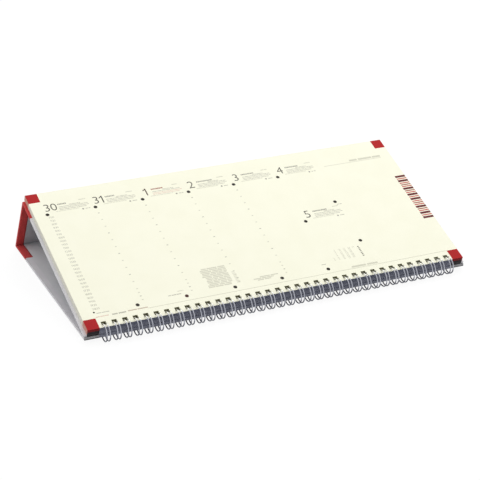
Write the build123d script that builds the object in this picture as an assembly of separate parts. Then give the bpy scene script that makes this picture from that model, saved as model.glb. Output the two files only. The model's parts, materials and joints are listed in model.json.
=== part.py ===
from build123d import *
import math
import os

# A weekly desk calendar: a block of loose leaves, bound by a twin-loop wire comb to a triangular
# stand of three covered boards. X runs along the wire, Y from the wire to the back, Z up.

# Leaves
leaf_width = 325.0
leaf_depth = 153.0
leaf_thickness = 0.088
leaf_gap = 0.006
leaf_count = 53
single_leaf_count = 5
leaves_per_pack = 4

# Holes, punched alike along the front edge of every leaf and board
inch = 25.4
holes_per_inch = 3
hole_width = 4.0
hole_depth = 3.3
hole_setback = 2.6
hole_end_margin = 12.0

# Boards and their coverings
board_thickness = 1.6
skin_thickness = 0.25
board_overhang = 2.0
base_depth = 170.0
support_depth = 152.0
stand_angle = 18.2
support_setback = 1.0
crease_gap = 0.4
turn_in = 4.8
front_turn_in_margin = 2.1
cloth_on_base = 28.5
cloth_on_support = 20.5

# Wire comb
wire_diameter = 1.0
loop_radius = 6.75
wire_clearance = 0.2
tip_gap = 0.5

# Construction
overrun = 1.0
gap_samples_per_edge = 60


def unit(vector):
    """Return the vector at a length of one."""
    return vector * (1 / vector.length)


class Side:
    """One side of the stand's triangle: its outer face in the YZ plane, going round from the front."""

    def __init__(self, start, end):
        self.start = start
        self.length = (end - start).length
        self.along = unit(end - start)
        self.inward = Vector(-self.along.Y, self.along.X)
        self.end_setback = 0

    def at(self, along, depth):
        """Return the point at a distance along the outer face and a depth below it."""
        return self.start + self.along * along + self.inward * depth

    def fold_to(self, following):
        """Set how far, for each depth, the corner with the following side draws back."""
        turned = self.along.X * following.along.Y - self.along.Y * following.along.X
        ahead = self.along.X * following.along.X + self.along.Y * following.along.Y
        self.end_setback = math.tan(math.atan2(turned, ahead) / 2)

    def corner(self, depth):
        """Return the corner with the following side at a depth below both outer faces."""
        return self.at(self.length - depth * self.end_setback, depth)


# Worked-out sizes
leaf_pitch = leaf_thickness + leaf_gap
block_height = leaf_count * leaf_pitch
hole_pitch = inch / holes_per_inch
hole_count = int((leaf_width - 2 * hole_end_margin) / hole_pitch) + 1
hole_back = hole_setback + hole_depth
front_turn_in = hole_back + front_turn_in_margin
panel_thickness = board_thickness + 2 * skin_thickness
panel_width = leaf_width + 2 * board_overhang
wire_radius = wire_diameter / 2
leg_x = (hole_width - wire_diameter) / 2 - wire_clearance

# The stand's triangle, with the base's outer face level
slope = math.radians(stand_angle)
up_slope = Vector(math.cos(slope), math.sin(slope))
off_slope = Vector(-math.sin(slope), math.cos(slope))
support_front = Vector(support_setback, panel_thickness) + off_slope * panel_thickness
ridge = support_front + up_slope * support_depth
heel = Vector(base_depth, 0)
base = Side(Vector(0, 0), heel)
back = Side(heel, ridge)
support = Side(ridge, support_front)
base.fold_to(back)
back.fold_to(support)

# The loop's axis lies as far below the top leaf as above the base's outer face
block_front = support_front + off_slope * block_height
axis_forward = loop_radius + wire_radius + wire_clearance - hole_back
axis_depth = (block_front.Y - axis_forward * math.sin(slope)) / (1 + math.cos(slope))
axis = block_front - up_slope * axis_forward - off_slope * axis_depth

# The comb's links lie midway in the wedge between base and support, and its tips stop below them
root_bend_radius = wire_radius + wire_clearance
link_radius = math.hypot(loop_radius, root_bend_radius)
wedge_corner = Vector(support_setback, panel_thickness) - axis
wedge_way = Vector(math.cos(slope / 2), math.sin(slope / 2))
wedge_along = wedge_corner.dot(wedge_way)
wedge_reach = math.sqrt(link_radius**2 - wedge_corner.length**2 + wedge_along**2) - wedge_along
link = wedge_corner + wedge_way * wedge_reach
link_turn = math.atan2(link.Y, link.X)
root_angle = math.degrees(link_turn + math.atan2(root_bend_radius, loop_radius))
tip_angle = 360 + math.degrees(link_turn - (leg_x + wire_diameter + tip_gap) / loop_radius)

# The calendar stands on its heel and on the loops, which tip the base up a little at the front
heel_to_axis = axis - heel
loop_outer_radius = loop_radius + wire_radius
base_tilt = math.asin(loop_outer_radius / heel_to_axis.length) - math.atan2(heel_to_axis.Y, -heel_to_axis.X)
standing = Rot(-math.degrees(base_tilt), 0, 0)


def stood(point):
    """Return a YZ point of the stand as a place in the tipped frame, before it is centred."""
    return (standing * Pos(0, point.X, point.Y)).position


front_reach = stood(axis).Y - loop_outer_radius
heel_place = stood(heel)
seat = Pos(0, -(front_reach + heel_place.Y) / 2, -heel_place.Z) * standing


def prism(points, low_x, high_x):
    """Return the solid between two X places over a YZ outline."""
    outline = Polyline(*[(point.X, point.Y) for point in points], close=True)
    return extrude(Plane.YZ.offset(low_x) * make_face(outline), amount=high_x - low_x, dir=(1, 0, 0))


def full_width(points):
    """Return the solid over a YZ outline from one end of the stand to the other."""
    return prism(points, -panel_width / 2, panel_width / 2)


def both_ends(points, width):
    """Return two solids over a YZ outline, each reaching in from one end of the stand."""
    reach = panel_width / 2
    return [prism(points, -reach, width - reach), prism(points, reach - width, reach)]


def layer(line, low_depth, high_depth):
    """Return the YZ outline of a layer that follows a line between two depths."""
    return line(low_depth) + line(high_depth)[::-1]


def punched_sketch():
    """Return the row of hole outlines, measured back from a front edge at zero."""
    return Pos(0, hole_setback + hole_depth / 2) * GridLocations(hole_pitch, 0, hole_count, 1) * Rectangle(
        hole_width, hole_depth
    )


def punch(face_plane):
    """Return the row of punches that go through a panel from its outer face."""
    return extrude(
        face_plane.offset(overrun) * Sketch(punched_sketch()),
        amount=panel_thickness + 2 * overrun,
        dir=-face_plane.z_dir,
    )


# The outer faces of the base and the support, with local Y running back from the front edge
base_plane = Plane(origin=(0, 0, 0), x_dir=(-1, 0, 0), z_dir=(0, 0, -1))
support_plane = Plane(
    origin=(0, support_front.X, support_front.Y), x_dir=(1, 0, 0), z_dir=(0, off_slope.X, off_slope.Y)
)


def cloth_line(depth):
    """Return the line of the spine cloth, from the base round the back to the support."""
    return [
        base.at(base_depth - cloth_on_base, depth),
        base.corner(depth),
        back.corner(depth),
        support.at(cloth_on_support, depth),
    ]


def lining_line(depth):
    """Return the line of the lining, from the base's front turn-in round to the support's."""
    return [
        base.at(front_turn_in, depth),
        base.corner(depth),
        back.corner(depth),
        support.at(support_depth - front_turn_in, depth),
    ]


def base_line(depth):
    """Return the line of the base's covering paper, from the front edge to the cloth."""
    return [base.at(0, depth), base.at(base_depth - cloth_on_base, depth)]


def support_line(depth):
    """Return the line of the support's covering paper, from the cloth to the front edge."""
    return [support.at(cloth_on_support, depth), support.at(support_depth, depth)]


def end_wrap(line):
    """Return the covering of both ends of a panel: the end faces and the strips turned in."""
    caps = both_ends(layer(line, 0, panel_thickness), skin_thickness)
    strips = both_ends(layer(line, panel_thickness - skin_thickness, panel_thickness), turn_in)
    return caps + strips


def make_board(side, low_along, high_along):
    """Return a bare board between two distances along a side."""

    def board_line(depth):
        return [side.at(low_along, depth), side.at(high_along, depth)]

    points = layer(board_line, skin_thickness, panel_thickness - skin_thickness)
    reach = panel_width / 2 - skin_thickness
    return prism(points, -reach, reach)


def make_cover(side, line, front_along, into_panel):
    """Return a covering paper: outer sheet, wrapped front edge and ends, and strips turned in."""

    def front_edge_line(depth):
        return [side.at(front_along, depth), side.at(front_along + into_panel * skin_thickness, depth)]

    def front_strip_line(depth):
        return [side.at(front_along, depth), side.at(front_along + into_panel * front_turn_in, depth)]

    sheet = full_width(layer(line, 0, skin_thickness))
    front_edge = full_width(layer(front_edge_line, 0, panel_thickness))
    front_strip = full_width(layer(front_strip_line, panel_thickness - skin_thickness, panel_thickness))
    return sheet + [front_edge, front_strip] + end_wrap(line)


def make_leaf():
    """Return one punched leaf, lying with its front edge on the X axis."""
    outline = Pos(0, leaf_depth / 2) * Rectangle(leaf_width, leaf_depth)
    return extrude(outline - punched_sketch(), amount=leaf_thickness)


def loop_point(x, angle):
    """Return the place on a loop's centre line at an angle up from the back."""
    turn = math.radians(angle)
    return Vector(x, axis.X + loop_radius * math.cos(turn), axis.Y + loop_radius * math.sin(turn))


def loop_tangent(angle):
    """Return the direction in which a loop runs on, at an angle up from the back."""
    turn = math.radians(angle)
    return Vector(0, -math.sin(turn), math.cos(turn))


def loop_arcs(x, start_angle, end_angle):
    """Return a loop from one angle to another as two equal arcs."""
    quarter = (end_angle - start_angle) / 4
    arcs = []
    for first in (start_angle, start_angle + 2 * quarter):
        points = [loop_point(x, first + step * quarter) for step in range(3)]
        arcs.append(ThreePointArc(*points))
    return arcs


def root_bend(side_sign):
    """Return the three points of the quarter turn from the link at the loops' root to one leg."""
    leg = loop_point(side_sign * leg_x, root_angle)
    back_along = loop_tangent(root_angle) * -root_bend_radius
    outward = Vector(side_sign * root_bend_radius, 0, 0)
    centre = leg + outward
    middle = centre + (back_along - outward) * math.sqrt(1 / 2)
    return [centre + back_along, middle, leg]


def finger_edges():
    """Return the centre line of one finger of the comb, from half a link to half a link."""
    left_bend = root_bend(-1)
    right_bend = root_bend(1)[::-1]
    link_start = Vector(-hole_pitch / 2, left_bend[0].Y, left_bend[0].Z)
    link_end = Vector(hole_pitch / 2, link_start.Y, link_start.Z)
    tip = loop_point(0, tip_angle) + loop_tangent(tip_angle) * leg_x
    tip_turn = ThreePointArc(loop_point(-leg_x, tip_angle), tip, loop_point(leg_x, tip_angle))
    return [
        Line(link_start, left_bend[0]),
        ThreePointArc(*left_bend),
        *loop_arcs(-leg_x, root_angle, tip_angle),
        tip_turn,
        *loop_arcs(leg_x, tip_angle, root_angle),
        ThreePointArc(*right_bend),
        Line(right_bend[-1], link_end),
    ]


def comb_places():
    """Return the X place of each finger."""
    return [(number - (hole_count - 1) / 2) * hole_pitch for number in range(hole_count)]


def make_comb():
    """Return the wire comb as one unbroken tube of hairpin loops."""
    edges = finger_edges()
    path = Wire(edges)
    section = Plane(origin=edges[0].position_at(0), z_dir=(1, 0, 0)) * Circle(wire_radius)
    finger = sweep(section, path=path)
    fingers = [Pos(x, 0, 0) * finger for x in comb_places()]
    expected = math.pi * wire_radius**2 * sum(edge.length for edge in edges) * hole_count
    comb = fingers[0] + fingers[1:]
    print(f"wire comb: {len(comb.solids())} solid, {comb.volume / expected:.4f} of section times length")
    return comb


def least_comb_gap():
    """Return the least clear gap between stretches of the wire that aren't neighbours along it."""
    points = []
    run = 0
    for finger_place in comb_places()[:2]:
        for edge in finger_edges():
            for sample in range(gap_samples_per_edge):
                share = sample / gap_samples_per_edge
                forward = edge.position_at(share)
                points.append((run + share * edge.length, forward + Vector(finger_place, 0, 0)))
            run += edge.length
    apart = math.pi * wire_diameter
    gaps = [
        (one - other).length - wire_diameter
        for index, (run_one, one) in enumerate(points)
        for run_other, other in points[:index]
        if run_one - run_other > apart
    ]
    return min(gaps)


# Boards, drawn back from each crease by their own thickness
heel_crease = panel_thickness * base.end_setback + crease_gap
ridge_crease = panel_thickness * back.end_setback + crease_gap
punched_base = punch(base_plane)
punched_support = punch(support_plane)

nodes = {}
nodes["base_board"] = make_board(base, skin_thickness, base_depth - heel_crease) - punched_base
nodes["back_board"] = make_board(back, heel_crease, back.length - ridge_crease)
nodes["support_board"] = make_board(support, ridge_crease, support_depth - skin_thickness) - punched_support

# Coverings
nodes["base_cover_paper"] = make_cover(base, base_line, 0, 1) - punched_base
nodes["support_cover_paper"] = make_cover(support, support_line, support_depth, -1) - punched_support
nodes["spine_cloth"] = full_width(layer(cloth_line, 0, skin_thickness)) + end_wrap(cloth_line)
lining_reach = panel_width / 2 - turn_in
lining_points = layer(lining_line, panel_thickness - skin_thickness, panel_thickness)
nodes["stand_lining"] = prism(lining_points, -lining_reach, lining_reach)

# Wire
nodes["wire_comb"] = make_comb()

# Leaves, from the top one down: single leaves that turn, then packs of leaves
leaf = make_leaf()
stack = []
for number in range(leaf_count):
    height = block_height - (number + 1) * leaf_pitch + leaf_gap
    stack.append(support_plane.offset(height).location * leaf)
for number in range(single_leaf_count):
    nodes[f"week_leaf_{number + 1:02d}"] = stack[number]
for number, first in enumerate(range(single_leaf_count, leaf_count, leaves_per_pack)):
    leaves = [sheet.solid() for sheet in stack[first : first + leaves_per_pack]]
    nodes[f"leaf_pack_{number + 1:02d}"] = Compound(leaves)

os.makedirs("parts", exist_ok=True)
for name, node in nodes.items():
    export_step(seat * node, f"parts/{name}.step")

turning_axis = (seat * Pos(0, axis.X, axis.Y)).position
print(f"least gap of the wire to itself {least_comb_gap():.2f} mm")
print(f"turning axis of the leaves at Y {turning_axis.Y:.3f}, Z {turning_axis.Z:.3f} mm")
print(f"base tipped {math.degrees(base_tilt):.3f} degrees, page slope {stand_angle - math.degrees(base_tilt):.3f}")
print(f"{hole_count} holes, block {block_height:.2f} mm high, back {back.length:.2f} mm high")
print(f"comb from {root_angle:.3f} to {tip_angle:.3f} degrees")
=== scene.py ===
import json
import math
import random

import bmesh
import bpy
from mathutils import Matrix, Vector


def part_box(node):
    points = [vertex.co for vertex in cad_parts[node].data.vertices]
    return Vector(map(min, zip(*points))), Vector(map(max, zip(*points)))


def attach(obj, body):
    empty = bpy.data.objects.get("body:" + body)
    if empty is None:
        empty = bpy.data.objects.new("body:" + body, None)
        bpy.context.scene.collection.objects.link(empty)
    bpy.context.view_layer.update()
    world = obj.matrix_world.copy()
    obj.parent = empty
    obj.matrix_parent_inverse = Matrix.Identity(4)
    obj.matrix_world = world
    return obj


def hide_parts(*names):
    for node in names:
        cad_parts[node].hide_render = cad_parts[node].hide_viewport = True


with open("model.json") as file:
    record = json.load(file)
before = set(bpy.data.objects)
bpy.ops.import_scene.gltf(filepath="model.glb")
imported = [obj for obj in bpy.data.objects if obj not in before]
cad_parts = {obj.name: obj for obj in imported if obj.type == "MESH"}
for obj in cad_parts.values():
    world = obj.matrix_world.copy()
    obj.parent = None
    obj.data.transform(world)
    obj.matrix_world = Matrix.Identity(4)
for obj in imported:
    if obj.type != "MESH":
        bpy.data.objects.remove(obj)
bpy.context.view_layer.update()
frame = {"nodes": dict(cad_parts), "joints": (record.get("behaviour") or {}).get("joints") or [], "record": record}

# A weekly desk calendar: wire-bound leaves on a folded stand of covered boards.
# X runs along the wire, Y from the wire to the back, Z up, all in metres.

mm = 0.001

# Leaves
leaf_depth = 153.0 * mm
leaf_thickness = 0.088 * mm
leaf_pitch = 0.094 * mm
leaf_count = 53
single_leaf_count = 5
corner_across = 9.8 * mm
corner_along = 10.3 * mm
# Painted shade on the leaves' front face: how far the darker red reaches down under the corners and its fade, the
# share of the block's height where the shade is darkest, and the share of its random tone per leaf
red_front_depth = 2.5 * mm
red_front_fade_share = 0.15
dark_front_share = 0.3
front_tone_share = 0.4
edge_skin = 0.02 * mm

# Punched holes
hole_pitch = 25.4 * mm / 3
hole_count = 36
hole_width = 4.0 * mm
hole_depth = 3.3 * mm
hole_setback = 2.6 * mm

# Stand
panel_thickness = 2.1 * mm
skin_thickness = 0.25 * mm
base_depth = 170.0 * mm
support_depth = 152.0 * mm
# How far back the painted shade reaches on the base's front edge, and how high the painted shadow at the foot of
# the base's ends
shaded_edge_depth = 1.3 * mm
shaded_foot = 0.8 * mm

# Spine cloth
cloth_on_base = 28.5 * mm
cloth_on_support = 20.5 * mm
turn_in = 4.8 * mm
turn_in_lap = 1.6 * mm
lap_lift = 0.06 * mm
cloth_fold_radius = 1.1 * mm
cloth_edge_radius = 0.45 * mm
thread_width = 0.42 * mm
fold_wear = (0.3 * mm, 1.6 * mm)
cloth_fold_steps = 7
cloth_edge_steps = 4
cloth_run_steps = 8
cloth_width_steps = 60

# Wire comb, with its angles measured up from the back on a level base
wire_radius = 0.5 * mm
loop_radius = 6.75 * mm
leg_x = 1.3 * mm
root_bend_radius = 0.7 * mm
root_angle = -6.803
tip_angle = 323.509
loop_arc_steps = 48
small_bend_steps = 8
wire_sides = 10

# Where the wire's painted highlight and painted shade lie, back from the leaves' front edge and up off the top
# leaf
bright_along = (-1.8 * mm, -0.8 * mm)
bright_lift = (0.0, 1.0 * mm)
hole_shade_along = (0.3 * mm, 1.6 * mm)
dark_foot_lift = (-4.2 * mm, -2.2 * mm)

# Ink
ink_height = 0.012 * mm
dot_sides = 16
numeral_thinning = -0.007
numeral_curve_steps = 3

# Points that lie closer than this are one
merge_distance = 0.001 * mm

# The range that holds nearly all of a noise
noise_range = (0.3, 0.7)

# Floor and surround, as levels of which one is white, and where the surround's level changes
floor_reach = 8.0
floor_level = 0.75
floor_shadow_level = 0.11
floor_glow = 0.91
horizon_level = 0.42
zenith_gain = 0.83
front_share = 0.26
front_fade = (-0.9, 0.1)
back_share = 0.35
back_fade = (0.3, 0.95)
left_share = 1.5
left_fade = (-0.9, 0.0)

# Lamp
lamp_place = Vector((0.6, 0.72, 1.4))
lamp_size = 1.2
lamp_power = 11.0

# Camera
camera_azimuth = -25.67
camera_elevation = 26.95
camera_roll = 2.141
camera_aim = Vector((-0.95, 0.0, 18.46)) * mm
camera_distance = 1292.8 * mm
camera_lens = 118.55
camera_sensor = 36.0

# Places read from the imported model
leaf_low, leaf_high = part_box("week_leaf_01")
leaf_width = leaf_high.x - leaf_low.x
leaf_run = leaf_high.y - leaf_low.y
leaf_rise = leaf_high.z - leaf_low.z
page_slope = math.atan2(
    leaf_depth * leaf_rise - leaf_thickness * leaf_run,
    leaf_depth * leaf_run - leaf_thickness * leaf_rise,
)
page_front = Vector((leaf_low.x, leaf_low.y, leaf_low.z + leaf_thickness * math.cos(page_slope)))
up_page = Vector((0, math.cos(page_slope), math.sin(page_slope)))
off_page = Vector((0, -math.sin(page_slope), math.cos(page_slope)))
loop_axis = Vector(frame["joints"][0]["pos_m"])
rest_normal = Vector(frame["record"]["mounts"][0]["axis"])
base_tilt = math.atan2(-rest_normal.y, -rest_normal.z)
cloth_low, cloth_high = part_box("spine_cloth")
panel_width = cloth_high.x - cloth_low.x
block_height = leaf_count * leaf_pitch
base_front = cloth_high.y * math.cos(base_tilt) - base_depth


def page_point(across, along, lift):
    """Return the place so far in from the left edge, back from the front edge and up off the top leaf."""
    return page_front + Vector((across, 0, 0)) + up_page * along + off_page * lift


# Node trees


class Channel:
    """One output of a node, on which sums and comparisons can be written."""

    def __init__(self, tree, socket):
        self.tree = tree
        self.socket = socket

    def maths(self, operation, *values):
        """Return the result of a Math node, added to the tree of this output."""
        return self.tree.node("ShaderNodeMath", dict(enumerate(values)), {"operation": operation})

    def __add__(self, other):
        return self.maths("ADD", self, other)

    def __sub__(self, other):
        return self.maths("SUBTRACT", self, other)

    def __rsub__(self, other):
        return self.maths("SUBTRACT", other, self)

    def __mul__(self, other):
        return self.maths("MULTIPLY", self, other)

    def __truediv__(self, other):
        return self.maths("DIVIDE", self, other)

    def __mod__(self, other):
        return self.maths("FLOORED_MODULO", self, other)

    def __lt__(self, other):
        return self.maths("LESS_THAN", self, other)

    def __gt__(self, other):
        return self.maths("GREATER_THAN", self, other)

    def __abs__(self):
        return self.maths("ABSOLUTE", self)

    def __floor__(self):
        return self.maths("FLOOR", self)

    def least(self, other):
        """Return the lesser of two values."""
        return self.maths("MINIMUM", self, other)

    def most(self, other):
        """Return the greater of two values."""
        return self.maths("MAXIMUM", self, other)


class Tree:
    """A node tree and the one way of adding a node to it."""

    def __init__(self, node_tree):
        self.node_tree = node_tree
        self.node_tree.nodes.clear()

    def node(self, kind, sockets=None, settings=None, output=0):
        """Add a node, set it up, feed its sockets and return one of its outputs."""
        made = self.node_tree.nodes.new(kind)
        for name, value in (settings or {}).items():
            setattr(made, name, value)
        for name, value in (sockets or {}).items():
            for one in value if isinstance(value, list) else [value]:
                if isinstance(one, Channel):
                    self.node_tree.links.new(one.socket, made.inputs[name])
                else:
                    made.inputs[name].default_value = one
        return Channel(self, made.outputs[output]) if len(made.outputs) else None

    def outputs(self, channel, titles):
        """Return the named outputs of the node that a channel comes from."""
        return [Channel(self, channel.socket.node.outputs[title]) for title in titles]

    def parts(self, vector):
        """Return the three numbers of a place."""
        return self.outputs(self.node("ShaderNodeSeparateXYZ", {0: vector}), "XYZ")

    def between(self, value, low, high, low_result=0.0, high_result=1.0):
        """Return a value carried smoothly from one range to another, held at both ends."""
        sockets = {0: value, 1: low, 2: high, 3: low_result, 4: high_result}
        return self.node("ShaderNodeMapRange", sockets, {"interpolation_type": "SMOOTHSTEP"})

    def background_rays(self):
        """Return one for rays that show the white background: seen, mirrored or through a clear piece."""
        titles = ("Is Camera Ray", "Is Transmission Ray", "Is Glossy Ray")
        seen, through, mirrored = self.outputs(self.node("ShaderNodeLightPath"), titles)
        return seen + through + mirrored


class Finish(Tree):
    """A material, built from what its surface shows."""

    def __init__(self, name):
        self.material = bpy.data.materials.new(name)
        self.material.use_nodes = True
        super().__init__(self.material.node_tree)

    def place(self, measured="Object"):
        """Return the place on the piece, in metres, or on its own UV map."""
        return self.node("ShaderNodeTexCoord", output=measured)

    def noise(self, place, scale, detail=2.0, stretch=(1, 1, 1)):
        """Return a soft random value around a half, with features of about one over the scale."""
        stretched = self.node("ShaderNodeMapping", {"Vector": place, "Scale": stretch})
        return self.node("ShaderNodeTexNoise", {"Vector": stretched, "Scale": scale, "Detail": detail})

    def drift(self, noise, low=0.0, high=1.0):
        """Return a value that drifts between two others with a noise."""
        return self.between(noise, *noise_range, low, high)

    def mix(self, share, first, second):
        """Return a colour between two colours."""
        sockets = {0: share, 6: first, 7: second}
        return self.node("ShaderNodeMix", sockets, {"data_type": "RGBA"}, output=2)

    def mottled(self, noise, first, second):
        """Return a colour that drifts between two close ones with a noise."""
        return self.mix(self.drift(noise), first, second)

    def flecked(self, colour, noise, rise, strength, fleck):
        """Return a colour with flecks of another, which come up over a range of a noise."""
        return self.mix(self.between(noise, *rise, 0.0, strength), colour, fleck)

    def bump(self, height, distance, strength):
        """Return a surface direction that follows a height."""
        return self.node("ShaderNodeBump", {"Height": height, "Distance": distance, "Strength": strength})

    def surface(self, sockets):
        """Finish the material with its shader."""
        shader = self.node("ShaderNodeBsdfPrincipled", sockets)
        self.node("ShaderNodeOutputMaterial", {"Surface": shader})
        return self.material


def paint(red, green, blue):
    """Return a colour as the shaders take it, from screen values up to 255."""
    shares = [value / 255 for value in (red, green, blue)]
    linear = [s / 12.92 if s <= 0.04045 else ((s + 0.055) / 1.055) ** 2.4 for s in shares]
    return (*linear, 1.0)


def grey(level):
    """Return a grey as the shaders take it, from its level."""
    return (level, level, level, 1.0)


# Finishes


def page_places(finish):
    """Return a place's distances from the middle, back from the front edge and up off the top leaf."""
    across, y, z = finish.parts(finish.place())
    back = y - page_front.y
    up = z - page_front.z
    along = back * up_page.y + up * up_page.z
    lift = back * off_page.y + up * off_page.z
    return across, along, lift


def above_base(finish):
    """Return how far a place lies above the outer face of the base."""
    y, z = finish.parts(finish.place())[1:]
    return (y - cloth_high.y) * math.sin(base_tilt) + z * math.cos(base_tilt)


def hole_mask(across, along):
    """Return one on the walls of the punched holes."""
    from_hole = abs((across / hole_pitch) % 1.0 - 0.5) * hole_pitch
    from_row = abs(along - (hole_setback + hole_depth / 2))
    in_row = (abs(across) < hole_count * hole_pitch / 2) * (from_row < hole_depth / 2 + edge_skin)
    return (from_hole < hole_width / 2 + edge_skin) * in_row


def make_leaf_paper():
    """Make the cream paper, with its red corner squares, painted shade on its front edge and in its holes, and
    stacked cut edges.
    """
    finish = Finish("cream leaf paper")
    place = finish.place()
    across, along, lift = page_places(finish)
    from_end = leaf_width / 2 - abs(across)
    corner = (from_end < corner_across) * ((along < corner_along) + (along > leaf_depth - corner_along))
    front_edge = along < edge_skin
    side_edge = (from_end < edge_skin) + (along > leaf_depth - edge_skin)
    leaf_number = math.floor(lift / leaf_pitch)
    leaf_tone = finish.node("ShaderNodeTexWhiteNoise", {"W": leaf_number}, {"noise_dimensions": "1D"})
    clouds = finish.noise(place, scale=45.0, detail=3.0)
    fibres = finish.noise(place, scale=900.0, detail=4.0, stretch=(1.0, 2.6, 1.0))
    grain = finish.noise(place, scale=2600.0, detail=3.0)

    cream = finish.mottled(clouds, paint(254, 253, 233), paint(252, 251, 230))
    cream = finish.flecked(cream, fibres, (0.62, 0.8), 0.2, paint(232, 229, 200))
    cut_edge = finish.mix(leaf_tone, paint(217, 215, 201), paint(238, 236, 223))
    cream = finish.mix(side_edge, cream, cut_edge)
    red = finish.mottled(clouds, paint(180, 36, 38), paint(171, 33, 35))
    red_cut_edge = finish.mix(leaf_tone, paint(196, 138, 124), paint(214, 168, 154))
    red = finish.mix(side_edge, red, red_cut_edge)

    # Painted shade on the front face of the leaves: dark blue-grey, lighter towards the lowest leaves, with a
    # little random tone per leaf
    deep = finish.between(lift, -block_height, -dark_front_share * block_height, 1.0, 0.0)
    front = finish.mix(deep, paint(108, 112, 130), paint(140, 143, 158))
    front = finish.mix(leaf_tone * front_tone_share, front, paint(150, 153, 170))
    # Painted shade on the front face under the red corners: near black, with a darker red on the top leaves
    red_foot = -(1 + red_front_fade_share) * red_front_depth
    red_top = -(1 - red_front_fade_share) * red_front_depth
    shaded_corner_front = finish.mix(leaf_tone, paint(44, 41, 43), paint(58, 53, 56))
    shaded_corner_front = finish.mix(finish.between(lift, red_foot, red_top), shaded_corner_front, paint(136, 30, 34))

    colour = finish.mix(corner, cream, red)
    colour = finish.mix(front_edge, colour, finish.mix(corner, front, shaded_corner_front))
    # Painted shade on the walls of the punched holes
    colour = finish.mix(hole_mask(across, along), colour, paint(186, 184, 150))
    sockets = {
        "Base Color": colour,
        "Roughness": finish.drift(fibres, 0.82, 0.92),
        "Specular IOR Level": 0.25,
        "Normal": finish.bump(grain * 0.6 + fibres * 0.4, distance=0.02 * mm, strength=0.5),
    }
    return finish.surface(sockets)


def make_covering_paper(name, on_support):
    """Make the pale paper of one board, with painted shade on its front edge and at the ends of that edge."""
    finish = Finish(name)
    place = finish.place()
    across, along = page_places(finish)[:2]
    clouds = finish.noise(place, scale=60.0, detail=3.0)
    laid = finish.noise(place, scale=1400.0, detail=3.0, stretch=(0.35, 1.0, 1.0))
    pale = finish.mottled(clouds, paint(228, 226, 229), paint(221, 219, 223))
    pale = finish.flecked(pale, laid, (0.6, 0.8), 0.3, paint(204, 202, 207))
    # Painted shade on the front edges of the boards
    dark_edge = finish.mix(clouds, paint(142, 145, 160), paint(156, 159, 174))
    # Painted shade at the ends of the front: near black under the red corners on the support; on the base, grey
    # with a darker painted shadow along its foot
    at_end = abs(across) > leaf_width / 2 - corner_across
    if on_support:
        front = (along < edge_skin) * (abs(across) < leaf_width / 2)
        end_shade = paint(52, 48, 50)
    else:
        y, z = finish.parts(place)[1:]
        front = (y * math.cos(base_tilt) - z * math.sin(base_tilt)) < base_front + shaded_edge_depth
        at_foot = above_base(finish) < shaded_foot
        end_shade = finish.mix(at_foot, paint(176, 176, 178), paint(104, 104, 108))
    shaded_tone = finish.mix(at_end, dark_edge, end_shade)
    sockets = {
        "Base Color": finish.mix(front, pale, shaded_tone),
        "Roughness": finish.drift(laid, 0.6, 0.75),
        "Specular IOR Level": 0.35,
        "Normal": finish.bump(laid, distance=0.03 * mm, strength=0.5),
    }
    return finish.surface(sockets)


def make_lining_paper():
    """Make the grey lining paper, paler where it lies on the base as painted light and duller elsewhere as painted
    shade.
    """
    finish = Finish("grey lining paper")
    place = finish.place()
    # Painted light and shade: the lining is paler on the base, which lies in the light, and duller on the back and
    # support, which lie in shade
    on_base = above_base(finish) < panel_thickness + edge_skin
    clouds = finish.noise(place, scale=50.0, detail=3.0)
    fibres = finish.noise(place, scale=1100.0, detail=4.0, stretch=(1.0, 2.0, 2.0))
    shaded_dull = finish.mottled(clouds, paint(188, 189, 193), paint(181, 182, 186))
    pale = finish.mottled(clouds, paint(222, 222, 224), paint(216, 216, 219))
    colour = finish.mix(on_base, shaded_dull, pale)
    sockets = {
        "Base Color": finish.flecked(colour, fibres, (0.6, 0.8), 0.25, paint(172, 173, 177)),
        "Roughness": 0.85,
        "Specular IOR Level": 0.25,
        "Normal": finish.bump(fibres, distance=0.03 * mm, strength=0.6),
    }
    return finish.surface(sockets)


def make_greyboard():
    """Make the speckled board under the papers."""
    finish = Finish("greyboard")
    place = finish.place()
    specks = finish.noise(place, scale=1800.0, detail=3.0)
    layers = finish.noise(place, scale=400.0, detail=3.0, stretch=(0.3, 0.3, 4.0))
    colour = finish.mottled(layers, paint(150, 146, 138), paint(132, 128, 120))
    sockets = {
        "Base Color": finish.flecked(colour, specks, (0.62, 0.72), 0.6, paint(96, 92, 86)),
        "Roughness": 0.9,
        "Normal": finish.bump(specks, distance=0.05 * mm, strength=0.7),
    }
    return finish.surface(sockets)


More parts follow.
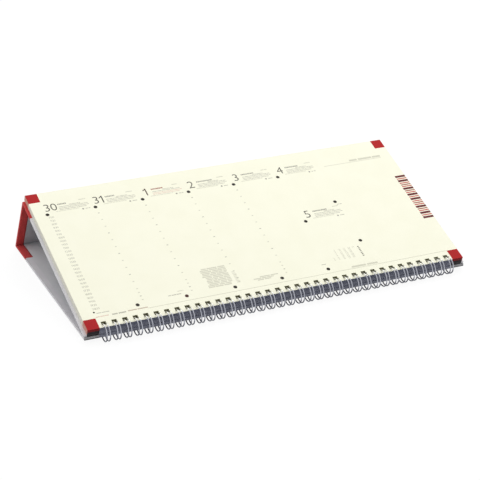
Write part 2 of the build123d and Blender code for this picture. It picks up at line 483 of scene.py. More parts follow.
def make_book_cloth(heel_run, ridge_run):
    """Make the woven red cloth, a little worn along its two folds."""
    finish = Finish("red book cloth")
    threads = finish.place("UV")
    run_x, run_y = finish.parts(threads)[:2]
    warp = run_x / thread_width
    weft = run_y / thread_width
    warp_round = abs((warp % 1.0) - 0.5)
    weft_round = abs((weft % 1.0) - 0.5)
    over = (math.floor(warp) + math.floor(weft)) % 2.0
    height = 1.0 - (over * warp_round + (1.0 - over) * weft_round) * 2.0
    slubs = finish.noise(threads, scale=260.0, stretch=(1.0, 9.0, 1.0))
    cross_slubs = finish.noise(threads, scale=260.0, stretch=(9.0, 1.0, 1.0))
    clouds = finish.noise(finish.place(), scale=40.0, detail=3.0)

    red = finish.mottled(clouds, paint(212, 69, 68), paint(202, 62, 62))
    red = finish.flecked(red, slubs * 0.5 + cross_slubs * 0.5, (0.5, 0.66), 0.5, paint(174, 46, 48))
    # Painted shade between the threads, darker where the weave lies low
    shaded_thread_gaps = finish.between(height, 0.0, 0.5, 0.4, 0.0)
    red = finish.mix(shaded_thread_gaps, red, paint(148, 37, 40))
    from_fold = abs(run_y - heel_run).least(abs(run_y - ridge_run))
    worn = finish.between(from_fold, *fold_wear, 1.0, 0.0) * finish.between(clouds, 0.35, 0.65, 0.1, 0.5)
    sockets = {
        "Base Color": finish.mix(worn, red, paint(216, 104, 98)),
        "Roughness": finish.drift(slubs, 0.7, 0.86),
        "Specular IOR Level": 0.25,
        "Sheen Weight": 0.08,
        "Normal": finish.bump(height + slubs * 0.5, distance=0.06 * mm, strength=0.6),
    }
    return finish.surface(sockets)


def make_wire_coat():
    """Make the silver coat of the wire, with a painted highlight over the page and painted shade at the holes and
    the foot.
    """
    finish = Finish("coated binding wire")
    place = finish.place()
    along, lift = page_places(finish)[1:]
    drawn = finish.noise(place, scale=900.0, detail=3.0, stretch=(1.0, 0.4, 0.4))
    patches = finish.noise(place, scale=120.0)
    # Painted highlight: over the page the wire turns pale cream and less metallic
    page_highlight = finish.between(along, *bright_along) * finish.between(lift, *bright_lift)
    # Painted shade where the wire goes into the holes
    hole_shade_mask = finish.between(along, *hole_shade_along)
    # Painted shade on the lowest part of the loops, below the page
    clear_of_foot_shade = finish.between(lift, *dark_foot_lift)
    silver = finish.mix(finish.between(patches, 0.35, 0.65), paint(180, 182, 191), paint(170, 172, 181))
    silver = finish.flecked(silver, drawn, (0.58, 0.75), 0.35, paint(146, 148, 160))
    silver = finish.mix(clear_of_foot_shade, paint(92, 94, 104), silver)
    silver = finish.mix(page_highlight, silver, paint(246, 246, 238))
    sockets = {
        "Base Color": finish.mix(hole_shade_mask, silver, paint(136, 136, 124)),
        "Metallic": 0.9 - page_highlight * 0.7,
        "Roughness": finish.drift(drawn, 0.2, 0.34),
        "Normal": finish.bump(drawn, distance=0.01 * mm, strength=0.3),
    }
    return finish.surface(sockets)


def make_ink():
    """Make the printing ink, which takes its tone from each mark and lets a little paper through."""
    finish = Finish("printing ink")
    tone = finish.node("ShaderNodeAttribute", settings={"attribute_name": "ink_tone"}, output="Color")
    speckle = finish.noise(finish.place(), scale=1900.0, detail=3.0)
    sockets = {
        "Base Color": finish.flecked(tone, speckle, (0.55, 0.8), 0.2, paint(236, 235, 210)),
        "Roughness": finish.drift(speckle, 0.6, 0.8),
        "Specular IOR Level": 0.3,
    }
    return finish.surface(sockets)


# Meshes


def new_object(name, data):
    """Return an object in the scene that holds some data."""
    made = bpy.data.objects.new(name, data)
    bpy.context.scene.collection.objects.link(made)
    return made


def settled_mesh(source):
    """Return what an object looks like with its modifiers, as a plain mesh, and remove the object."""
    graph = bpy.context.evaluated_depsgraph_get()
    mesh = bpy.data.meshes.new_from_object(source.evaluated_get(graph))
    data = source.data
    kind = source.type
    bpy.data.objects.remove(source)
    if kind == "MESH":
        bpy.data.meshes.remove(data)
    else:
        bpy.data.curves.remove(data)
    return mesh


def add_piece(name, mesh, material, body):
    """Put a finished mesh into the scene as a piece of the object."""
    if not mesh.materials:
        mesh.materials.append(material)
    mesh.name = name
    made = new_object(name, mesh)
    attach(made, body)
    return made


class NodeSheet(Tree):
    """A geometry node tree with named inputs and their values."""

    def __init__(self, name, values):
        group = bpy.data.node_groups.new(name, "GeometryNodeTree")
        super().__init__(group)
        self.values = {}
        group.interface.new_socket("Geometry", in_out="INPUT", socket_type="NodeSocketGeometry")
        for title, value in values.items():
            kind = "NodeSocketInt" if isinstance(value, int) else "NodeSocketFloat"
            socket = group.interface.new_socket(title, in_out="INPUT", socket_type=kind)
            self.values[socket.identifier] = value
        group.interface.new_socket("Geometry", in_out="OUTPUT", socket_type="NodeSocketGeometry")
        self.entry = group.nodes.new("NodeGroupInput")

    def given(self, title):
        """Return one of the tree's inputs."""
        return Channel(self, self.entry.outputs[title])

    def finish(self, geometry, material):
        """Make the geometry real, give it its material and hand it out."""
        real = self.node("GeometryNodeRealizeInstances", {0: geometry})
        coated = self.node("GeometryNodeSetMaterial", {"Geometry": real, "Material": material})
        self.node("NodeGroupOutput", {0: coated})

    def apply(self, source):
        """Run the tree on an object and return the plain mesh."""
        modifier = source.modifiers.new(self.node_tree.name, "NODES")
        modifier.node_group = self.node_tree
        for identifier, value in self.values.items():
            modifier[identifier] = value
        return settled_mesh(source)


# Wire comb


def loop_place(x, angle):
    """Return the place on a loop at an angle up from the back, as seen on a level base."""
    turn = math.radians(angle) - base_tilt
    return loop_axis + Vector((x, loop_radius * math.cos(turn), loop_radius * math.sin(turn)))


def loop_heading(angle):
    """Return the direction in which a loop runs on at an angle."""
    turn = math.radians(angle) - base_tilt
    return Vector((0, -math.sin(turn), math.cos(turn)))


def bend(centre, first, second, turn, steps):
    """Return points round a centre, which start in the first direction and turn by way of the second."""
    points = []
    for step in range(steps + 1):
        angle = math.radians(turn * step / steps)
        points.append(centre + first * math.cos(angle) + second * math.sin(angle))
    return points


def finger_points():
    """Return the line of one finger of the comb, from half a link to half a link."""
    right = Vector((1, 0, 0))
    root_back = loop_heading(root_angle) * -root_bend_radius
    out = right * root_bend_radius
    left_leg = loop_place(-leg_x, root_angle)
    right_leg = loop_place(leg_x, root_angle)
    left_bend = bend(left_leg - out, root_back, out, 90, small_bend_steps)
    right_bend = bend(right_leg + out, -out, root_back, 90, small_bend_steps)
    climb = []
    for step in range(1, loop_arc_steps):
        climb.append(root_angle + (tip_angle - root_angle) * step / loop_arc_steps)
    left_loop = [loop_place(-leg_x, angle) for angle in climb]
    right_loop = [loop_place(leg_x, angle) for angle in reversed(climb)]
    tip = loop_place(0, tip_angle)
    tip_turn = bend(tip, right * -leg_x, loop_heading(tip_angle) * leg_x, 180, small_bend_steps * 2)
    link_start = Vector((-hole_pitch / 2, *left_bend[0].yz))
    link_end = Vector((hole_pitch / 2, *right_bend[-1].yz))
    return [link_start] + left_bend + left_loop + tip_turn + right_loop + right_bend + [link_end]


def comb_tree(material):
    """Return the tree that repeats one finger along the wire and gives the line its thickness."""
    values = {
        "Loop Count": hole_count,
        "Loop Pitch": hole_pitch,
        "Wire Radius": wire_radius,
        "Wire Sides": wire_sides,
    }
    sheet = NodeSheet("wire comb", values)
    count = sheet.given("Loop Count")
    pitch = sheet.given("Loop Pitch")
    start = (count - 1.0) * pitch * -0.5
    start_place = sheet.node("ShaderNodeCombineXYZ", {"X": start})
    step_place = sheet.node("ShaderNodeCombineXYZ", {"X": pitch})
    row = sheet.node(
        "GeometryNodeMeshLine", {"Count": count, "Start Location": start_place, "Offset": step_place}
    )
    stops = sheet.node("GeometryNodeCurveToPoints", {0: sheet.given("Geometry")}, {"mode": "EVALUATED"})
    repeated = sheet.node("GeometryNodeInstanceOnPoints", {"Points": row, "Instance": stops})
    points = sheet.node("GeometryNodeRealizeInstances", {0: repeated})
    single = sheet.node("GeometryNodeMergeByDistance", {"Geometry": points, "Distance": merge_distance})
    order = sheet.node("GeometryNodeInputIndex")
    line = sheet.node("GeometryNodePointsToCurves", {"Points": single, "Weight": order})
    section = sheet.node(
        "GeometryNodeCurvePrimitiveCircle",
        {"Resolution": sheet.given("Wire Sides"), "Radius": sheet.given("Wire Radius")},
    )
    tube = sheet.node(
        "GeometryNodeCurveToMesh", {"Curve": line, "Profile Curve": section, "Fill Caps": True}
    )
    smooth = sheet.node("GeometryNodeSetShadeSmooth", {"Geometry": tube, "Shade Smooth": True})
    sheet.finish(smooth, material)
    return sheet


def make_comb(material):
    """Make the wire comb and put it in place of its plain form."""
    points = finger_points()
    curve = bpy.data.curves.new("finger line", "CURVE")
    curve.dimensions = "3D"
    spline = curve.splines.new("POLY")
    spline.points.add(len(points) - 1)
    for stop, point in zip(spline.points, points):
        stop.co = (*point, 1.0)
    mesh = comb_tree(material).apply(new_object("finger line", curve))
    comb = add_piece("binding_comb", mesh, material, "stand")
    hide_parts("wire_comb")


# Spine cloth


class Panel:
    """One side of the stand's triangle in the YZ plane: its outer face and the depths below it."""

    def __init__(self, start, end):
        self.start = start
        self.length = (end - start).length
        self.along = (end - start).normalized()
        self.inward = Vector((-self.along.y, self.along.x))
        self.start_draw = 0.0
        self.end_draw = 0.0

    def at(self, distance, depth):
        """Return the point at a distance along the outer face and a depth below it."""
        return self.start + self.along * distance + self.inward * depth

    def held(self, distance, depth):
        """Return the same point, held between the corners of that depth."""
        low = depth * self.start_draw
        high = self.length - depth * self.end_draw
        return self.at(min(max(distance, low), high), depth)

    def folded(self, share, depth):
        """Return the point at a share of the rounded fold at the end and a depth below its outer face."""
        centre_depth = max(cloth_fold_radius, depth)
        centre = self.at(self.length - centre_depth * self.end_draw, centre_depth)
        first = -self.inward
        angle = 2 * math.atan(self.end_draw) * share
        outward = Vector(
            (
                first.x * math.cos(angle) - first.y * math.sin(angle),
                first.x * math.sin(angle) + first.y * math.cos(angle),
            )
        )
        return centre + outward * (centre_depth - depth)

    def fold_to(self, following):
        """Set how far the corner with the following side draws back for each depth."""
        turned = self.along.x * following.along.y - self.along.y * following.along.x
        draw = math.tan(math.atan2(turned, self.along.dot(following.along)) / 2)
        self.end_draw = draw
        following.start_draw = draw


def stand_panels():
    """Return the base, back and support of the stand, going round from the front."""
    heel = Vector((cloth_high.y, cloth_low.z))
    base_along = Vector((math.cos(base_tilt), -math.sin(base_tilt)))
    ridge = page_point(0, support_depth, -block_height).yz
    base = Panel(heel - base_along * base_depth, heel)
    back = Panel(heel, ridge)
    support = Panel(ridge, page_point(0, 0, -block_height).yz)
    base.fold_to(back)
    back.fold_to(support)
    return base, back, support


def spread(low, high, steps):
    """Return values from one to another, closer together at both ends."""
    return [low + (high - low) * (0.5 - 0.5 * math.cos(math.pi * step / steps)) for step in range(steps + 1)]


def cloth_rows(base, back, support):
    """Return, for each thread line across the cloth, the rule and the value that place it at a depth."""
    heel_tangent = cloth_fold_radius * base.end_draw
    ridge_tangent = cloth_fold_radius * back.end_draw
    runs = (
        (base, base_depth - cloth_on_base, base.length - heel_tangent),
        (back, heel_tangent, back.length - ridge_tangent),
        (support, ridge_tangent, cloth_on_support),
    )
    rows = []
    for panel, low, high in runs:
        rows += [(panel.held, distance) for distance in spread(low, high, cloth_run_steps)]
        if panel is not support:
            rows += [(panel.folded, step / cloth_fold_steps) for step in range(1, cloth_fold_steps)]
    return rows


def cloth_columns():
    """Return the X place and depth of each thread along the cloth, from one turned-in edge to the other."""
    end = -panel_width / 2
    radius = cloth_edge_radius
    half = [(end + turn_in + turn_in_lap, panel_thickness + lap_lift)]
    for share in (0.0, 0.5, 1.0):
        depth = panel_thickness + lap_lift * (1 - share)
        half.append((end + turn_in + (radius - turn_in) * share, depth))
    for step in range(1, cloth_edge_steps + 1):
        turn = math.pi / 2 * step / cloth_edge_steps
        depth = panel_thickness - radius + radius * math.cos(turn)
        half.append((end + radius - radius * math.sin(turn), depth))
    for step in range(cloth_edge_steps + 1):
        turn = math.pi / 2 * step / cloth_edge_steps
        depth = radius - radius * math.sin(turn)
        half.append((end + radius - radius * math.cos(turn), depth))
    span = panel_width - 2 * radius
    across = []
    for step in range(1, cloth_width_steps):
        across.append((end + radius + span * step / cloth_width_steps, 0.0))
    mirrored = [(-x, depth) for x, depth in reversed(half)]
    return half + across + mirrored


def run_lengths(points):
    """Return the distance run at each of a row of points."""
    lengths = [0.0]
    for first, second in zip(points, points[1:]):
        lengths.append(lengths[-1] + (second - first).length)
    return lengths


def cloth_face(rows, columns, run_x, run_y):
    """Return the outer face of the cloth as a mesh, with a UV map that follows its threads."""
    shape = bmesh.new()
    threads = shape.loops.layers.uv.new("threads")
    corners = []
    for rule, value in rows:
        corners.append([shape.verts.new((x, *rule(value, depth))) for x, depth in columns])
    for down in range(len(rows) - 1):
        for over in range(len(columns) - 1):
            square = [(down, over), (down, over + 1), (down + 1, over + 1), (down + 1, over)]
            face = shape.faces.new([corners[d][o] for d, o in square])
            face.smooth = True
            for loop, (d, o) in zip(face.loops, square):
                loop[threads].uv = (run_x[o], run_y[d])
    middle = shape.faces[:][len(rows) // 2 * (len(columns) - 1) + len(columns) // 2]
    middle.normal_update()
    if middle.normal.y < 0:
        bmesh.ops.reverse_faces(shape, faces=shape.faces[:])
    bmesh.ops.remove_doubles(shape, verts=shape.verts[:], dist=merge_distance)
    mesh = bpy.data.meshes.new("spine cloth")
    shape.to_mesh(mesh)
    shape.free()
    return mesh


def make_spine_cloth():
    """Make the pasted spine cloth with rounded folds and turned-in ends."""
    rows = cloth_rows(*stand_panels())
    columns = cloth_columns()
    run_x = run_lengths([Vector((x, depth)) for x, depth in columns])
    run_y = run_lengths([rule(value, 0.0) for rule, value in rows])
    source = new_object("spine cloth", cloth_face(rows, columns, run_x, run_y))
    wall = source.modifiers.new("cloth thickness", "SOLIDIFY")
    wall.thickness = skin_thickness
    wall.offset = -1.0
    mesh = settled_mesh(source)
    heel_row = cloth_run_steps + 1 + cloth_fold_steps // 2
    ridge_row = heel_row + cloth_run_steps + cloth_fold_steps
    material = make_book_cloth(run_y[heel_row], run_y[ridge_row])
    cloth = add_piece("spine_covering", mesh, material, "stand")
    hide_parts("spine_cloth")


# Printing, in millimetres across and up the page from the front left corner

black = paint(34, 28, 20)
dark_grey = paint(88, 86, 78)
mid_grey = paint(152, 151, 140)
scale_grey = paint(174, 173, 158)
light_grey = paint(192, 191, 176)
soft_grey = paint(202, 201, 185)
faint_grey = paint(216, 215, 196)
pale_grey = paint(232, 231, 212)
brown = paint(94, 74, 66)
pale_red = paint(228, 200, 184)
dark_red = paint(66, 22, 20)
deep_red = paint(100, 20, 26)
soft_red = paint(198, 84, 78)
brown_red = paint(156, 76, 62)
pale_brown = paint(206, 192, 174)

# Weeks
first_day = 30
month_days = 31
week_days = 7
month_start = 5
feast_column = 2
first_seed = 11

# Columns
column_starts = (10.7, 51.0, 91.6, 132.1, 172.8, 213.7)
header_line = 127.2
sunday_place = (213.9, 70.9)
half_hour_pitch = 4.0
dot_size = 3.2
small_dot_size = 1.6

# A day's header, measured from its dot
numeral_shift = 5.0
numeral_lift = 3.6
numeral_height = 8.2
name_start = 10.8
two_digit_shift = 0.6
name_foot = 9.1
name_height = 1.5
name_lengths = (7.2, 8.4, 10.5, 13.0, 11.2, 12.2, 12.3)
header_dot = (30.0, 0.3)

# The header's greeked lines: left end, right end, foot, letter height and tone
header_lines = (
    (20.4, 30.0, 7.8, 0.6, light_grey),
    (name_start, 36.0, 6.4, 0.6, light_grey),
    (name_start, 36.5, 4.8, 0.6, light_grey),
    (name_start, 34.0, 3.2, 0.6, light_grey),
    (8.0, 27.5, 1.7, 0.6, faint_grey),
    (29.8, 35.5, 11.2, 0.8, faint_grey),
    (32.0, 36.0, 0.0, 0.7, light_grey),
)
feast_lines = (2, 3)

# Rules, from corner to corner, and dots
foot_rule = (52.0, 10.2, 315.8, 10.7)
notes_rule = (259.5, 130.6, 314.6, 131.1)
scale_dot = (10.8, 16.3)
red_foot_dot = (85.9, 15.2)
foot_dots = ((45.6, 15.6), (126.5, 14.8), (167.0, 14.8), (208.0, 15.0))
notes_dots = ((248.9, 87.4), (249.0, 39.2))

# Greeked lines of the page: left end, right end, foot, letter height and tone
notes_lines = (
    (249.0, 253.5, 83.6, 0.7, light_grey),
    (284.6, 315.0, 131.9, 2.2, faint_grey),
)
foot_lines = (
    (12.4, 22.6, 14.5, 0.7, light_grey),
    (10.4, 21.2, 10.8, 0.8, pale_red),
    (23.5, 35.5, 10.4, 1.3, light_grey),
    (36.3, 52.4, 11.0, 1.1, pale_brown),
    (71.7, 82.5, 18.2, 0.8, light_grey),
    (80.5, 85.5, 21.2, 0.7, faint_grey),
    (150.0, 166.4, 19.8, 1.1, faint_grey),
    (144.0, 163.0, 18.3, 1.1, faint_grey),
    (147.0, 160.0, 16.8, 1.1, faint_grey),
    (204.5, 208.5, 20.2, 0.7, light_grey),
    (228.0, 251.5, 11.4, 1.9, faint_grey),
)

# Greeking, as shares of the letter height, and the ragged left edge as a share of the line
word_shares = (2.5, 8.0)
word_gap_shares = (0.4, 0.7)
letter_shares = (0.4, 0.7)
letter_gap_share = 0.25
ragged_share = 0.14

# Numerals, as shares of their height
digit_gap_share = 0.13
flag_reach_share = 0.24
flag_drop_share = 0.22
stroke_share = 0.13


class PrintedSheet:
    """The marks printed on one leaf, in the order in which they are set."""

    def __init__(self, seed):
        self.chance = random.Random(seed)
        self.marks = []
        self.numerals = []

    def bar(self, low_u, low_v, high_u, high_v, tone):
        """Set a bar between two corners."""
        centre = ((low_u + high_u) / 2, (low_v + high_v) / 2)
        self.marks.append((centre, (high_u - low_u, high_v - low_v), False, tone))

    def dot(self, place, size, tone):
        """Set a round dot."""
        self.marks.append((place, (size, size), True, tone))

    def bars(self, low_u, high_u, low_v, count, pitch, height, tone):
        """Set a column of bars, which goes on by a pitch from the first one."""
        for number in range(count):
            v = low_v + number * pitch
            self.bar(low_u, v, high_u, v + height, tone)

    def number(self, value, u, v, height, tone, centred=False):
        """Set a number with its lower left corner, or the middle of its foot, at a place."""
        digits = str(value)
        if centred:
            width = sum(digit_form(digit)[2] + digit_gap_share for digit in digits) - digit_gap_share
            u -= width * height / 2
        self.numerals.append((digits, u, v, height, tone))

    def words(self, low_u, high_u, v, height, tone):
        """Set a line of greeked words."""
        u = low_u
        while u < high_u - height:
            length = min(height * self.chance.uniform(*word_shares), high_u - u)
            self.bar(u, v, u + length, v + height, tone)
            u += length + height * self.chance.uniform(*word_gap_shares)

    def letters(self, low_u, high_u, v, height, tone):
        """Set one greeked word of separate letters."""
        u = low_u
        while u < high_u:
            width = height * self.chance.uniform(*letter_shares)
            self.bar(u, v, u + width, v + height, tone)
            u += width + height * letter_gap_share

    def lines(self, low_u, high_u, high_v, count, pitch, height, tone):
        """Set a block of greeked lines with a ragged left edge."""
        for number in range(count):
            start = low_u + (high_u - low_u) * self.chance.uniform(0.0, ragged_share)
            self.words(start, high_u, high_v - number * pitch - height, height, tone)


def set_day_header(sheet, day, name_length, place, feast):
    """Set one day's number, dots, greeked name and greeked lines."""
    u, v = place
    numeral_ink, name_ink = (brown, brown_red) if feast else (dark_grey, mid_grey)
    name_left = u + name_start + (two_digit_shift if day > 9 else 0.0)
    sheet.dot(place, dot_size, black)
    sheet.dot((u + header_dot[0], v + header_dot[1]), small_dot_size, mid_grey)
    sheet.number(day, u + numeral_shift, v + numeral_lift, numeral_height, numeral_ink, True)
    sheet.letters(name_left, name_left + name_length, v + name_foot, name_height, name_ink)
    for number, (left, right, foot, height, tone) in enumerate(header_lines):
        line_left = name_left if left == name_start else u + left
        line_ink = pale_red if feast and number in feast_lines else tone
        sheet.words(line_left, u + right, v + foot, height, line_ink)


def set_notes(sheet):
    """Set the rule, dots and greeked lines of the space for notes at the right."""
    sheet.bar(*notes_rule, faint_grey)
    for place in notes_dots:
        sheet.dot(place, dot_size, black)
    for line in notes_lines:
        sheet.words(*line)


def set_hour_scale(sheet):
    """Set the scale of hours down the first column."""
    left = 10.6
    top = 122.6
    height = 2.0
    row_count = 27
    first_hour = 7
    for row in range(row_count):
        v = top - row * half_hour_pitch
        minutes = "30" if row % 2 else "00"
        sheet.number(f"{first_hour + row // 2}{minutes}", left, v, height, scale_grey)


def set_column_ticks(sheet):
    """Set the ticks that part the columns of the working days, closer together at the front."""
    left = 0.5
    right = 1.0
    top = 119.5
    height = 0.8
    hour_rows = range(0, 22, 2)
    half_hour_rows = range(22, 26)
    for u in column_starts[1:5]:
        for row in (*hour_rows, *half_hour_rows):
            v = top - row * half_hour_pitch
            sheet.bar(u - left, v, u + right, v + height, faint_grey if row % 3 else light_grey)


def set_foot(sheet):
    """Set the rule, dots and greeked lines along the front of the page."""
    sheet.bar(*foot_rule, faint_grey)
    sheet.dot(scale_dot, small_dot_size, black)
    sheet.dot(red_foot_dot, dot_size, dark_red)
    for place in foot_dots:
        sheet.dot(place, dot_size, black)
    for line in foot_lines:
        sheet.words(*line)


def set_text_block(sheet):
    """Set the block of greeked lines beside the fourth column, and the column of short bars next to it."""
    sheet.lines(104.8, 127.2, high_v=39.6, count=13, pitch=1.66, height=1.15, tone=faint_grey)
    sheet.bars(130.0, 132.6, low_v=18.8, count=8, pitch=1.65, height=1.2, tone=pale_grey)


def set_month_table(sheet, first_place):
    """Set the small table of a month's numbers below the last day, with a bar at the end of each row."""
    left = 217.4
    top = 32.6
    column_pitch = 4.2
    row_pitch = 1.75
    number_height = 1.7
    for day in range(month_days):
        column, row = divmod(first_place + day, week_days)
        sheet.number(day + 1, left + column * column_pitch, top - row * row_pitch, number_height, soft_grey)
    sheet.bars(243.0, 244.4, low_v=top, count=week_days, pitch=-row_pitch, height=0.9, tone=dark_grey)


def set_month_index(sheet):
    """Set the index of bars at the right edge: a broad bar for each month with narrow ones between."""
    broad_ends = (315.2, 324.9)
    narrow_ends = (315.4, 324.8)
    broad = 2.4
    narrow = 1.2
    gap = 1.0
    v = 50.4
    last_month = 7
    for month in range(last_month + 1):
        sheet.bar(broad_ends[0], v, broad_ends[1], v + broad, deep_red)
        v += broad + gap
        for number in range(1 + month % 3 if month < last_month else 0):
            sheet.bar(narrow_ends[0], v, narrow_ends[1], v + narrow, brown_red if number == 1 else soft_red)
            v += narrow + gap


def week_sheet(number):
    """Return the printing of one week."""
    sheet = PrintedSheet(first_seed + number)
    places = [(u, header_line) for u in column_starts] + [sunday_place]
    for column, place in enumerate(places):
        day = (first_day + number * week_days + column - 1) % month_days + 1
        feast = number == 0 and column == feast_column
        set_day_header(sheet, day, name_lengths[column], place, feast)
    set_notes(sheet)
    set_hour_scale(sheet)
    set_column_ticks(sheet)
    set_foot(sheet)
    set_text_block(sheet)
    set_month_table(sheet, (month_start + number * month_days) % week_days)
    set_month_index(sheet)
    return sheet


digit_store = {}


def digit_form(digit):
    """Return the points, faces and width of a digit, a unit high and starting at zero."""
    if digit in digit_store:
        return digit_store[digit]
    half_depth = 0.5
    curve = bpy.data.curves.new("digit", "FONT")
    curve.body = digit
    curve.offset = numeral_thinning
    curve.extrude = half_depth
    curve.resolution_u = numeral_curve_steps
    mesh = settled_mesh(new_object("digit", curve))
    points = [vertex.co.copy() for vertex in mesh.vertices]
    faces = [tuple(polygon.vertices) for polygon in mesh.polygons]
    bpy.data.meshes.remove(mesh)
    left = min(point.x for point in points)
    low = min(point.y for point in points)
    height = max(point.y for point in points) - low
    points = [Vector(((p.x - left) / height, (p.y - low) / height, p.z + half_depth)) for p in points]
    if digit == "1":
        add_flag(points, faces)
    width = max(point.x for point in points)
    digit_store[digit] = (points, faces, width)
    return digit_store[digit]


def add_flag(points, faces):
    """Add the slanting stroke at the top of a one, which moves its stem to the right."""
    for point in points:
        point.x += flag_reach_share
    first = len(points)
    low = 1 - flag_drop_share
    stem = flag_reach_share + stroke_share / 2
    for z in (0, 1):
        for x, y in ((0, low - stroke_share), (stem, 1 - stroke_share), (stem, 1), (0, low)):
            points.append(Vector((x, y, z)))
    sides = [(3, 2, 1, 0), (4, 5, 6, 7)]
    sides += [(one, (one + 1) % 4, (one + 1) % 4 + 4, one + 4) for one in range(4)]
    faces.extend(tuple(first + corner for corner in side) for side in sides)


def number_mesh(sheet, depth):
    """Return all numbers of a sheet as one mesh on the leaf that lies so far below the top one."""
    points = []
    faces = []
    tones = []
    for text, u, v, height, tone in sheet.numerals:
        for digit in text:
            shape, sides, width = digit_form(digit)
            first = len(points)
            for point in shape:
                across = (u + point.x * height) * mm
                along = (v + point.y * height) * mm
                points.append(page_point(across, along, point.z * ink_height - depth))
                tones.extend(tone)
            for side in sides:
                faces.append(tuple(first + index for index in side))
            u += (width + digit_gap_share) * height
    mesh = bpy.data.meshes.new("week numbers")
    mesh.from_pydata(points, [], faces)
    tone_layer = mesh.attributes.new("ink_tone", "FLOAT_COLOR", "POINT")
    tone_layer.data.foreach_set("color", tones)
    shape = bmesh.new()
    shape.from_mesh(mesh)
    bmesh.ops.remove_doubles(shape, verts=shape.verts[:], dist=merge_distance)
    bmesh.ops.recalc_face_normals(shape, faces=shape.faces[:])
    shape.to_mesh(mesh)
    shape.free()
    return mesh


def marks_tree(material):
    """Return the tree that prints a bar or a dot at each point of a sheet."""
    sheet = NodeSheet("printed marks", {"Page Slope": page_slope, "Dot Sides": dot_sides})
    named = "GeometryNodeInputNamedAttribute"
    size = sheet.node(named, {"Name": "mark_size"}, {"data_type": "FLOAT_VECTOR"})
    is_round = sheet.node(named, {"Name": "mark_round"}, {"data_type": "BOOLEAN"})
    is_bar = sheet.node("FunctionNodeBooleanMath", {0: is_round}, {"operation": "NOT"})
    turn = sheet.node("ShaderNodeCombineXYZ", {"X": sheet.given("Page Slope")})
    turn = sheet.node("FunctionNodeEulerToRotation", {0: turn})
    block = sheet.node("GeometryNodeMeshCube")
    disc = sheet.node(
        "GeometryNodeMeshCylinder",
        {"Vertices": sheet.given("Dot Sides"), "Radius": 0.5, "Depth": 1.0},
    )
    printed = []
    for selection, form in ((is_bar, block), (is_round, disc)):
        sockets = {
            "Points": sheet.given("Geometry"),
            "Selection": selection,
            "Instance": form,
            "Rotation": turn,
            "Scale": size,
        }
        printed.append(sheet.node("GeometryNodeInstanceOnPoints", sockets))
    joined = sheet.node("GeometryNodeJoinGeometry", {0: printed})
    sheet.finish(joined, material)
    return sheet


def marks_source(sheet, depth):
    """Return an object that holds a point, a size and a tone for each mark of a sheet."""
    points = []
    sizes = []
    rounds = []
    tones = []
    for (u, v), (width, length), is_round, tone in sheet.marks:
        points.append(page_point(u * mm, v * mm, ink_height / 2 - depth))
        sizes.extend((width * mm, length * mm, ink_height))
        rounds.append(is_round)
        tones.extend(tone)
    mesh = bpy.data.meshes.new("marks")
    mesh.from_pydata(points, [], [])
    mesh.attributes.new("mark_size", "FLOAT_VECTOR", "POINT").data.foreach_set("vector", sizes)
    mesh.attributes.new("mark_round", "BOOLEAN", "POINT").data.foreach_set("value", rounds)
    mesh.attributes.new("ink_tone", "FLOAT_COLOR", "POINT").data.foreach_set("color", tones)
    return new_object("marks", mesh)


def print_weeks(material):
    """Print the single leaves and the leaf that lies under them."""
    tree = marks_tree(material)
    for number in range(single_leaf_count + 1):
        title = f"{number + 1:02d}"
        body = f"week_leaf_{title}" if number < single_leaf_count else "stand"
        sheet = week_sheet(number)
        depth = number * leaf_pitch
        marks = tree.apply(marks_source(sheet, depth))
        add_piece(f"week_marks_{title}", marks, material, body)
        add_piece(f"week_numbers_{title}", number_mesh(sheet, depth), material, body)


# Floor, light and camera


def make_floor():
    """Make a pale floor that is white to the camera and keeps the soft shadow."""
    mesh = bpy.data.meshes.new("floor")
    corners = [(x * floor_reach, y * floor_reach, 0) for x, y in ((-1, -1), (1, -1), (1, 1), (-1, 1))]
    mesh.from_pydata(corners, [], [(0, 1, 2, 3)])
    finish = Finish("pale floor")
    plain = finish.node("ShaderNodeBsdfDiffuse", {"Color": grey(floor_level)})
    shaded = finish.node("ShaderNodeBsdfDiffuse", {"Color": grey(floor_shadow_level)})
    glow = finish.node("ShaderNodeEmission", {"Color": grey(1.0), "Strength": floor_glow})
    white = finish.node("ShaderNodeAddShader", {0: shaded, 1: glow})
    mixed = finish.node("ShaderNodeMixShader", {0: finish.background_rays(), 1: plain, 2: white})
    finish.node("ShaderNodeOutputMaterial", {"Surface": mixed})
    mesh.materials.append(finish.material)
    new_object("floor", mesh)


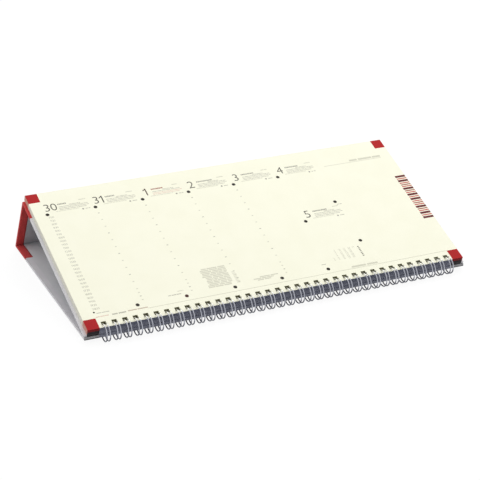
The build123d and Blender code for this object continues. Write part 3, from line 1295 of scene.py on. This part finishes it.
def make_sky():
    """Make a soft surround, bright overhead, dim in front and behind, and white to the camera."""
    world = bpy.data.worlds.new("soft surround")
    bpy.context.scene.world = world
    world.use_nodes = True
    sky = Tree(world.node_tree)
    across, depth, height = sky.parts(sky.node("ShaderNodeTexCoord", output="Generated"))
    level = height.most(0.0) * zenith_gain + horizon_level
    level = level * sky.between(depth, *front_fade, front_share, 1.0)
    level = level * sky.between(depth, *back_fade, 1.0, back_share)
    level = level * sky.between(across, *left_fade, left_share, 1.0)
    light = sky.node("ShaderNodeBackground", {"Color": grey(1.0), "Strength": level})
    white = sky.node("ShaderNodeBackground", {"Color": grey(1.0), "Strength": 1.0})
    mixed = sky.node("ShaderNodeMixShader", {0: sky.background_rays(), 1: light, 2: white})
    sky.node("ShaderNodeOutputWorld", {"Surface": mixed})


def make_lamp():
    """Make a square soft lamp, high up behind the calendar, that looks at its middle."""
    lamp = bpy.data.lights.new("back lamp", "AREA")
    lamp.shape = "SQUARE"
    lamp.size = lamp_size
    lamp.energy = lamp_power
    made = new_object("back lamp", lamp)
    made.location = lamp_place
    made.rotation_mode = "QUATERNION"
    made.rotation_quaternion = (-lamp_place).to_track_quat("-Z", "Y")


def make_camera():
    """Make the camera at the viewing angle."""
    data = bpy.data.cameras.new("camera")
    data.lens = camera_lens
    data.sensor_width = camera_sensor
    made = new_object("camera", data)
    azimuth = math.radians(camera_azimuth)
    elevation = math.radians(camera_elevation)
    back = Vector(
        (
            math.sin(azimuth) * math.cos(elevation),
            -math.cos(azimuth) * math.cos(elevation),
            math.sin(elevation),
        )
    )
    level = (-back).to_track_quat("-Z", "Y")
    made.rotation_mode = "QUATERNION"
    made.rotation_quaternion = level @ Matrix.Rotation(math.radians(camera_roll), 3, "Z").to_quaternion()
    made.location = camera_aim + back * camera_distance
    bpy.context.scene.camera = made


# Assembly

make_camera()
make_sky()
make_floor()
make_lamp()
make_comb(make_wire_coat())
make_spine_cloth()
print_weeks(make_ink())

leaf_paper = make_leaf_paper()
greyboard = make_greyboard()
board_finishes = {
    "base_board": greyboard,
    "back_board": greyboard,
    "support_board": greyboard,
    "base_cover_paper": make_covering_paper("pale base paper", False),
    "support_cover_paper": make_covering_paper("pale support paper", True),
    "stand_lining": make_lining_paper(),
}
for name, node in frame["nodes"].items():
    coat = board_finishes.get(name, leaf_paper)
    if not node.material_slots:
        node.data.materials.append(coat)
    for slot in node.material_slots:
        slot.material = coat

bpy.context.scene.view_settings.view_transform = "Standard"
